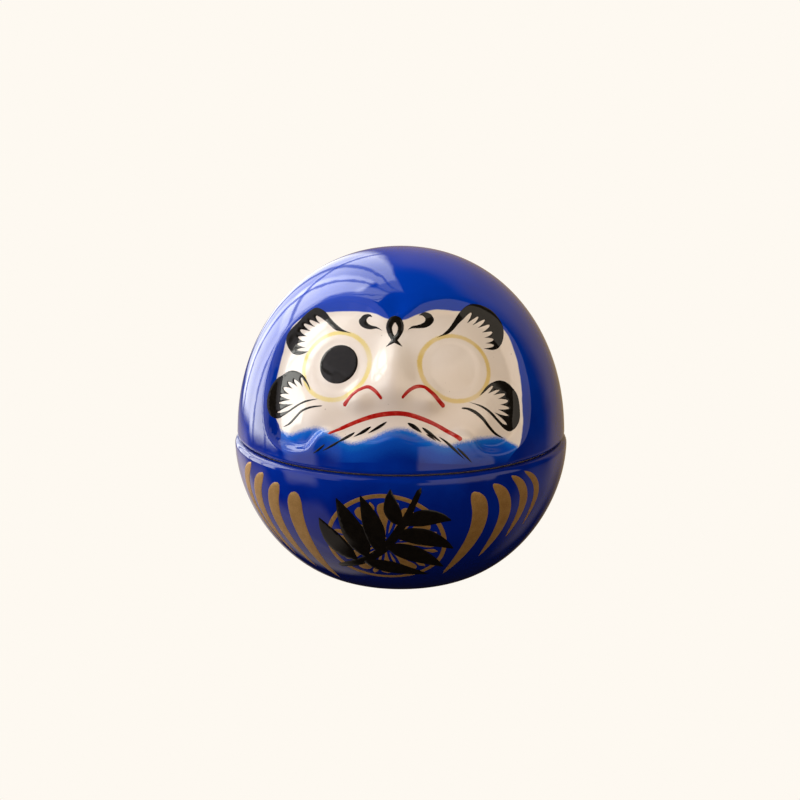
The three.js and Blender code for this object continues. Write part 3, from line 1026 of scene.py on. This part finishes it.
# start, end and width of each hair of the beard
beardHairs = [
    ((-2.2, -6.7), (-8.5, -10.4), 0.9), ((-7.4, -8.2), (-13, -11.4), 1.0),
    ((-12.9, -10), (-17.6, -13), 1.0), ((-16.6, -12.4), (-23.1, -15.6), 0.7),
    ((-22, -13.5), (-26.6, -16.4), 0.7), ((4.4, -7), (9.1, -10), 1.3),
    ((9.1, -8.3), (14.9, -12.7), 1.1), ((10.6, -10.4), (13.4, -12.4), 0.6),
    ((14.5, -11.1), (23.1, -18), 0.8), ((20, -14.2), (25.6, -18.9), 0.8),
]


def makeFeatures():
    for name, paths in features.items():
        outline = np.vstack([smoothPath(path, 5)[:-1] for path in paths])
        solid = flatSolid([outline], enamel["brush"])
        layEnamel(name, [solid], onFace, black, "lid")
    right = [smoothPath(knot[part], 5)[:-1] for part in ("loop", "foot", "notch")]
    half = np.vstack([*right, [knot["notch"][-1]]])
    hole = smoothPath(knot["hole"], 5)
    loops = [np.vstack([h, (h * (-1, 1))[-2:0:-1]]) + (knot["middle"], 0) for h in (half, hole)]
    solid = flatSolid(loops, enamel["knot"])
    layEnamel("brow_knot", [solid], onFace, black, "lid")
    turns = np.linspace(0, 2 * math.pi, 65)[:-1]
    disc = np.stack([np.cos(turns), np.sin(turns)], 1) * pupil["reach"] + pupil["middle"]
    solid = flatSolid([disc], enamel["pupil"])
    layEnamel("pupil", [solid], onFace, black, "lid")
    for name, (points, widths, finishOf, slotName) in lines.items():
        solid = flatSolid([brushStroke(points, widths)], enamel["line"])
        layEnamel(name, [solid], onFace, finishOf, "lid")


makeFeatures()


# Repeats a flat solid at seeds, each with a place, a turn about Z and a size, all in mm
def repeated(name, solid, seeds):
    unit = makeObject(name + "_unit", meshFrom(name + "_unit", *solid))
    source = bpy.data.meshes.new(name + "_seeds")
    source.from_pydata([(*place, 0) for place, _, _ in seeds], [], [])
    turn = source.attributes.new("turn", "FLOAT_VECTOR", "POINT")
    turn.data.foreach_set("vector", [c for _, angle, _ in seeds for c in (0, 0, angle)])
    size = source.attributes.new("size", "FLOAT_VECTOR", "POINT")
    size.data.foreach_set("vector", [c for _, _, s in seeds for c in (*s, 1)])
    mesh = runTree(name, source, repeater, {"Unit": unit, "Material": gold})
    bpy.data.objects.remove(unit)
    faces = [tuple(p.vertices) for p in mesh.polygons]
    return coordinates(mesh), faces, pointValues(mesh, "copy", 1)[:, 0].round().astype(int)


def makeBeard():
    t = np.linspace(0, 1, 25)
    half = 0.5 * np.sin(math.pi * t ** 0.8) ** 0.8 + 0.02
    bow = 0.12 * np.sin(math.pi * t)
    hair = np.vstack([np.stack([10 * t, bow - half], 1), np.stack([10 * t, bow + half], 1)[::-1]])
    unitPoints, unitFaces = flatSolid([hair], enamel["line"], 0.4)
    unitPoints[:, 0] /= 10
    seeds = []
    for start, end, width in beardHairs:
        along = np.subtract(end, start)
        seeds.append((start, math.atan2(along[1], along[0]), (np.hypot(*along), width)))
    points, faces, _ = repeated("beard_hairs", (unitPoints, unitFaces), seeds)
    layEnamel("beard_hairs", [(points, faces)], onFace, black, "lid")


makeBeard()
print("face painted")


# ---- gold stripes down the bowl: four each side, fanned out from the medallion
stripes = {
    "thickness": 0.07, "unitLength": 36, "unitWidth": 6, "headShare": 0.14,
    # azimuth of the top, height of the top and the tip, width, bow and sweep, degrees and mm
    "painted": [
        (-35, 40.5, 7.2, 6.3, 1.8, 3.2), (-42.8, 42.2, 10.7, 5.8, 5.0, 1.0),
        (-50.6, 43.9, 13.9, 5.3, 6.4, -0.6), (-58.4, 45.6, 17.1, 4.8, 6.6, 2.0),
        (27, 42.4, 11.5, 6.0, 4.0, 5.0), (34.3, 44.1, 17.2, 5.2, 6.1, -1.7),
        (41.6, 45.6, 23.0, 4.1, 6.4, -4.2), (47.4, 46.0, 26.0, 3.2, 7.0, -6.0),
    ],
}


def stripeWidth(t):
    head = np.sqrt(1 - (1 - np.clip(t / stripes["headShare"], 0, 1)) ** 2)
    return head * np.clip(1.12 * (1 - t) ** 0.72 * (0.82 + 0.9 * t), 0, 1)


def makeStripes():
    head, unitSize = stripes["headShare"], (stripes["unitLength"], stripes["unitWidth"])
    t = np.concatenate([np.linspace(0, head, 10)[:-1], np.linspace(head, 1, 26)])
    half = stripeWidth(t) / 2
    outline = np.vstack([np.stack([t, half], 1), np.stack([t, -half], 1)[-2:0:-1]])
    solid = flatSolid([outline * unitSize], stripes["thickness"], 1.1)
    painted = stripes["painted"]
    points, faces, copy = repeated("gold_stripes", solid, [((0, 0), 0, (1, 1))] * len(painted))
    along, across = points[:, 0] / unitSize[0], points[:, 1] / unitSize[1]
    placed = np.zeros_like(points)
    for index, (top, levelTop, levelEnd, width, bow, sweep) in enumerate(painted):
        mine = copy == index
        t = along[mine]
        bend = bow * np.sin(math.pi * t ** 0.8) - sweep * t**2
        azimuth = top + math.copysign(1, top) * bend
        level = levelTop + (levelEnd - levelTop) * t
        down = np.interp(-level, -sideHeight, sideLength)
        radius = np.interp(down, sideLength, sideRadius)
        turn = np.radians(azimuth) + across[mine] * width / radius
        placed[mine] = onSide(turn, down, points[mine, 2])
    layEnamel("gold_stripes", [(placed, faces)], lambda p: p, gold, "bowl")


makeStripes()
print("stripes laid")


# ---- medallion: a gold ring round a wheel of paddle petals and darts, of no one's device
medallion = {
    "azimuth": -3.1, "down": 21.6, "across": 1.06, "ringRadius": 18.4, "ringWidth": 1.4,
    "petals": 12, "thickness": 0.06, "hubRadius": 1.1,
    "petal": [(3.2, 0.2), (7, 0.6), (10, 1.3), (12.8, 2.1), (14.7, 1.7), (15.5, 0)],
    "darts": [[(4.4, 0.1), (8, 0.4), (10.6, 0.08)], [(11.6, 0.08), (14.4, 0.85), (16, 0.15)]],
    "seed": {"radius": 2.3, "size": 0.42},
}


# Flat coordinates round the medallion's middle, laid on the bowl's side
def onMedallion(flat):
    down = medallion["down"] - flat[:, 1]
    radius = np.interp(down, sideLength, sideRadius)
    turn = math.radians(medallion["azimuth"]) + flat[:, 0] * medallion["across"] / radius
    return onSide(turn, down, flat[:, 2])


def mirroredOutline(half):
    path = smoothPath(half, 6)
    return np.vstack([path, (path * (1, -1))[::-1]])


def makeMedallion():
    thickness = medallion["thickness"]
    turns = np.linspace(0, 2 * math.pi, 121)[:-1]
    circle = np.stack([np.cos(turns), np.sin(turns)], 1)
    outer, width = medallion["ringRadius"], medallion["ringWidth"]
    ring = flatSolid([circle * outer, circle * (outer - width)], thickness, 1.1)
    petal = flatSolid([mirroredOutline(medallion["petal"])], thickness, 0.9)
    halfStep = math.pi / medallion["petals"]
    turn = np.array([[math.cos(halfStep), math.sin(halfStep)],
                     [-math.sin(halfStep), math.cos(halfStep)]])
    darts = [flatSolid([mirroredOutline(d) @ turn], thickness, 0.9) for d in medallion["darts"]]
    seed = circle[::10] * medallion["seed"]["size"] + (medallion["seed"]["radius"], 0)
    seedSolid = flatSolid([seed], thickness, 0.6)
    unit = joined([petal, *darts, seedSolid])
    seeds = [((0, 0), 2 * halfStep * i, (1, 1)) for i in range(medallion["petals"])]
    points, faces, _ = repeated("medallion", unit, seeds)
    hub = flatSolid([circle[::4] * medallion["hubRadius"]], thickness, 0.6)
    layEnamel("medallion", [ring, (points, faces), hub], onMedallion, gold, "bowl")


makeMedallion()


# ---- brushed spray of bamboo leaves over the medallion, the painter's own picture
mark = {
    "stem": ([(-15.5, -13), (-9, -10), (-1, -3), (5.5, 8), (11, 20.5)], [2.0, 3.2, 3.0, 2.6, 1.4]),
    # foot, belly, tip and greatest width of each leaf
    "leaves": [
        ((-9, -9), (-15.5, -1), (-20.5, 8), 6.8), ((-6, -7), (-9.5, 4), (-14.5, 16), 7.4),
        ((-2.5, -4), (-3.4, 6.5), (-7, 17.5), 6.4), ((-7, -9), (1.5, -12), (12, -16.5), 6.4),
        ((0, -1.5), (8.3, -5), (17, -12.5), 7.0), ((2.5, 3), (11.5, 2.4), (20.5, -3.5), 6.8),
        ((5.5, 7.5), (12.5, 10), (20, 8.4), 6.0), ((5, 7.5), (2.4, 13), (2, 20), 5.0),
    ],
    "height": 0.12,
}


# Five points along a leaf that bends through its belly
def leafLine(foot, belly, tip):
    corners = np.array([foot, belly, tip], float)
    middle = 2 * corners[1] - (corners[0] + corners[2]) / 2
    return [
        (1 - t)**2 * corners[0] + 2 * t * (1 - t) * middle + t * t * corners[2]
        for t in (0, 0.22, 0.48, 0.78, 1)
    ]


def makeMark():
    strokes = [mark["stem"]]
    for foot, belly, tip, width in mark["leaves"]:
        strokes.append((leafLine(foot, belly, tip), [0.9, 0.8 * width, width, 0.62 * width, 0.3]))
    solids = []
    for index, (points, widths) in enumerate(strokes):
        height = mark["height"] + 0.012 * index
        solids.append(flatSolid([brushStroke(points, widths)], height, 0.9))
    layEnamel("brush_mark", solids, onMedallion, brushwork, "bowl")


makeMark()
print("bowl painted")


# ---- floor, sky and lamps
studio = {"paper": linear("#FEF9F1"), "floorSize": 12.0}


def makeFloor():
    reach = studio["floorSize"] / 2
    corners = [(-reach, -reach, 0), (reach, -reach, 0), (reach, reach, 0), (-reach, reach, 0)]
    mesh = meshFrom("floor", corners, [(0, 1, 2, 3)])
    floor = makeObject("floor", mesh)
    floor.location.z = -0.0001
    material, _, shader, _ = newFinish("matt paper floor")
    shader.inputs["Base Color"].default_value = (0, 0, 0, 1)
    shader.inputs["Roughness"].default_value = 1
    shader.inputs["Specular IOR Level"].default_value = 0
    shader.inputs["Emission Color"].default_value = studio["paper"]
    shader.inputs["Emission Strength"].default_value = 1
    mesh.materials.append(material)
    floor.visible_glossy = False
    floor.visible_diffuse = False
    floor.visible_shadow = False


# The room as seen from the jar, in degrees: azimuth is 0 towards the camera and positive to
# the right; each patch is azimuth from and to, elevation from and to, edge, strength, colour
room = {
    "dark": (0.03, "#8C7A70"),
    "patches": [
        (-150, -128, 16, 64, 2, 5.4, "#FFFFF8"),
        (-150, -128, -9, 16, 2, 3.6, "#FFFFF8"),
        (-128, -92, -11, 44, 2.5, 5.0, "#FFFFF8"),
        (-138, -96, 60, 84, 3, 2.3, "#FFFFF8"),
        (-128, -92, 44, 60, 2.5, 1.4, "#FFFFF8"),
        (-172, -150, 20, 68, 2, 3.0, "#FFFFF8"),
        (-172, -150, -7, 20, 2, 2.0, "#FFFFF8"),
        (-174, -138, 68, 84, 3, 1.2, "#FFFFF8"),
        (-92, -26, 28, 70, 2.5, 0.8, "#FBF6FF"),
        (-84, -58, -22, 28, 4, 1.2, "#FBF6FF"),
        (-58, -40, -10, 28, 5, 0.8, "#FBF6FF"),
        (22, 90, 0, 41, 2.2, 0.95, "#FFF0DC"),
        (14, 70, -18, 0, 1.8, 0.9, "#FFF0DC"),
        (128, 190, -20, 50, 10, 0.42, "#FFD995"),
        (-190, -172, -20, 50, 10, 0.42, "#FFD995"),
        (-170, -132, -26, -12, 5, 0.7, "#FFEFE2"),
        (-152, -106, -66, -16, 6, 0.5, "#FFEFE2"),
        (-108, -60, -64, -36, 5, 0.42, "#FFEFE2"),
        (96, 146, -44, -14, 8, 0.22, "#F0D8D0"),
    ],
    # bars across the bright patches: azimuth or elevation of the middle, and half width
    "uprights": [(-160, 1.5), (-144, 1.5), (-122, 1.3), (-106, 1.3)],
    "rails": [(23.5, 1.5)], "barEdge": 0.9, "barLight": 0.26,
}


def makeSky():
    world = bpy.data.worlds.new("room")
    bpy.context.scene.world = world
    world.use_nodes = True
    tree = world.node_tree
    where = addNode(tree, "ShaderNodeTexCoord").outputs["Generated"]
    split = addNode(tree, "ShaderNodeSeparateXYZ", {}, {0: where}).outputs
    back = addNode(tree, "ShaderNodeMath", multiplying, {0: split["Y"], 1: -1.0})
    turn = addNode(tree, "ShaderNodeMath", {"operation": "ARCTAN2"}, {0: split["X"], 1: back})
    azimuth = addNode(tree, "ShaderNodeMath", multiplying, {0: turn, 1: 180 / math.pi})
    rise = addNode(tree, "ShaderNodeMath", {"operation": "ARCSINE"}, {0: split["Z"]})
    elevation = addNode(tree, "ShaderNodeMath", multiplying, {0: rise, 1: 180 / math.pi})

    def band(value, low, high, edge):
        rising = addNode(tree, "ShaderNodeMapRange", smoothly, {
            0: value, 1: low - edge, 2: low + edge})
        falling = addNode(tree, "ShaderNodeMapRange", smoothly, {
            0: value, 1: high - edge, 2: high + edge, 3: 1, 4: 0})
        return addNode(tree, "ShaderNodeMath", multiplying, {0: rising, 1: falling})

    bars = 1.0
    for value, middles in ((azimuth, room["uprights"]), (elevation, room["rails"])):
        for middle, half in middles:
            bar = band(value, middle - half, middle + half, room["barEdge"])
            past = addNode(tree, "ShaderNodeMapRange", {}, {0: bar, 3: 1, 4: room["barLight"]})
            bars = addNode(tree, "ShaderNodeMath", multiplying, {0: past, 1: bars})
    strength, colour = room["dark"]
    total = [c * strength for c in linear(colour)[:3]]
    for left, right, low, high, edge, strength, colour in room["patches"]:
        share = addNode(tree, "ShaderNodeMath", multiplying, {
            0: band(azimuth, left, right, edge), 1: band(elevation, low, high, edge)})
        if strength > 1:
            share = addNode(tree, "ShaderNodeMath", multiplying, {0: share, 1: bars})
        tint = [c * strength for c in linear(colour)[:3]]
        patch = addNode(tree, "ShaderNodeVectorMath", {"operation": "SCALE"}, {
            0: tint, "Scale": share})
        total = addNode(tree, "ShaderNodeVectorMath", adding, {0: total, 1: patch})
    fillInputs(tree, tree.nodes["Background"], {"Color": total})


# Lamps that light the colours without showing in the glaze, placed by angle as above
def makeLamp(name, azimuth, elevation, distance, size, power, colour):
    turn, rise = math.radians(azimuth), math.radians(elevation)
    away = Vector((math.sin(turn) * math.cos(rise), -math.cos(turn) * math.cos(rise), math.sin(rise)))
    lamp = bpy.data.objects.new(name, bpy.data.lights.new(name, "AREA"))
    lamp.data.size = size
    lamp.data.energy = power
    lamp.data.color = linear(colour)[:3]
    lamp.location = Vector((0, 0, 0.06)) + away * distance
    lamp.rotation_euler = away.to_track_quat("Z", "Y").to_euler()
    lamp.visible_glossy = False
    bpy.context.collection.objects.link(lamp)


makeFloor()
makeSky()
makeLamp("soft key", -25, 50, 1.2, 0.7, 4.7, "#FFF8F0")
makeLamp("left wall", -76, -6, 1.2, 0.8, 4.8, "#E4EEFF")
makeLamp("front wall", 34, -6, 1.2, 0.9, 3.6, "#FFE8CC")
makeLamp("light off the table", 0, -28, 1.2, 0.9, 1.2, "#FFE8D8")
print("stage set")
